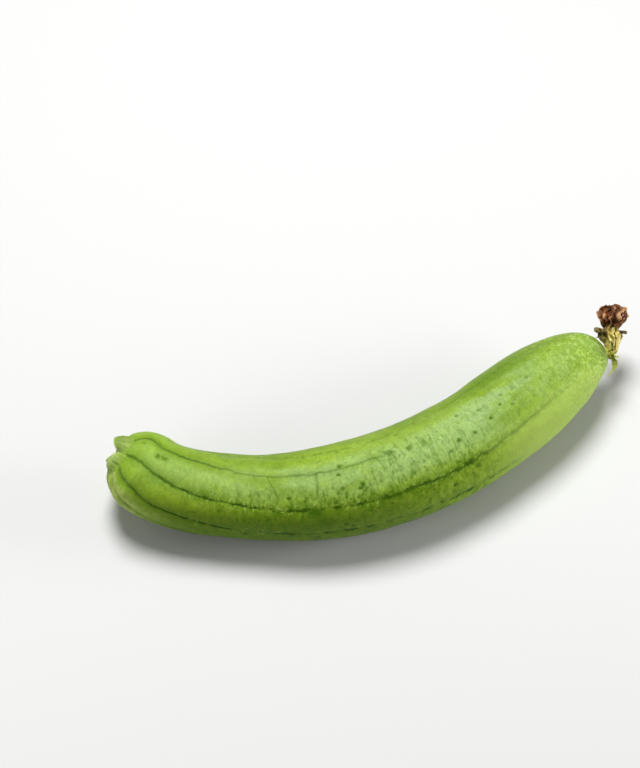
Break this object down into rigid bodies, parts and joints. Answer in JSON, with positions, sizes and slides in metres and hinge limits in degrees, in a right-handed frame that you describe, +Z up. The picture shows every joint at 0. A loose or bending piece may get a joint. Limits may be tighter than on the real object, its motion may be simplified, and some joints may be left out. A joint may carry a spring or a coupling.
{
  "type": "sponge gourd",
  "caption": "Curved ribbed green sponge gourd lying on its side, with a notched cut stalk stub at one end and a withered flower at the other.",
  "frame": {"origin": "on the table, at the centre of the footprint of the whole gourd", "axes": "+X from the stalk end to the blossom end, +Y towards the hollow side of the bend, +Z up"},
  "size_m": [0.3183, 0.11, 0.0544],
  "materials": {
    "rind": "satin green rind with darker vein lines, flecks and a pale waxy bloom",
    "stalk": "pale yellow-green cut stalk, moist on the cut face",
    "calyx": "yellow olive, slightly hairy",
    "sepal": "matt yellow-green, drying at the tips",
    "petal": "dry crumpled papery petal, tan to dark brown",
    "style": "dry, matt dark brown"
  },
  "bodies": {
    "root": {"fruit": "rind", "stalk_stub": "stalk", "calyx_cup": "calyx", "sepal_1": "sepal", "sepal_2": "sepal", "sepal_3": "sepal", "sepal_4": "sepal", "sepal_5": "sepal", "petal_1": "petal", "petal_2": "petal", "petal_3": "petal", "petal_4": "petal", "petal_5": "petal", "style": "style"}
  },
  "joints": []
}
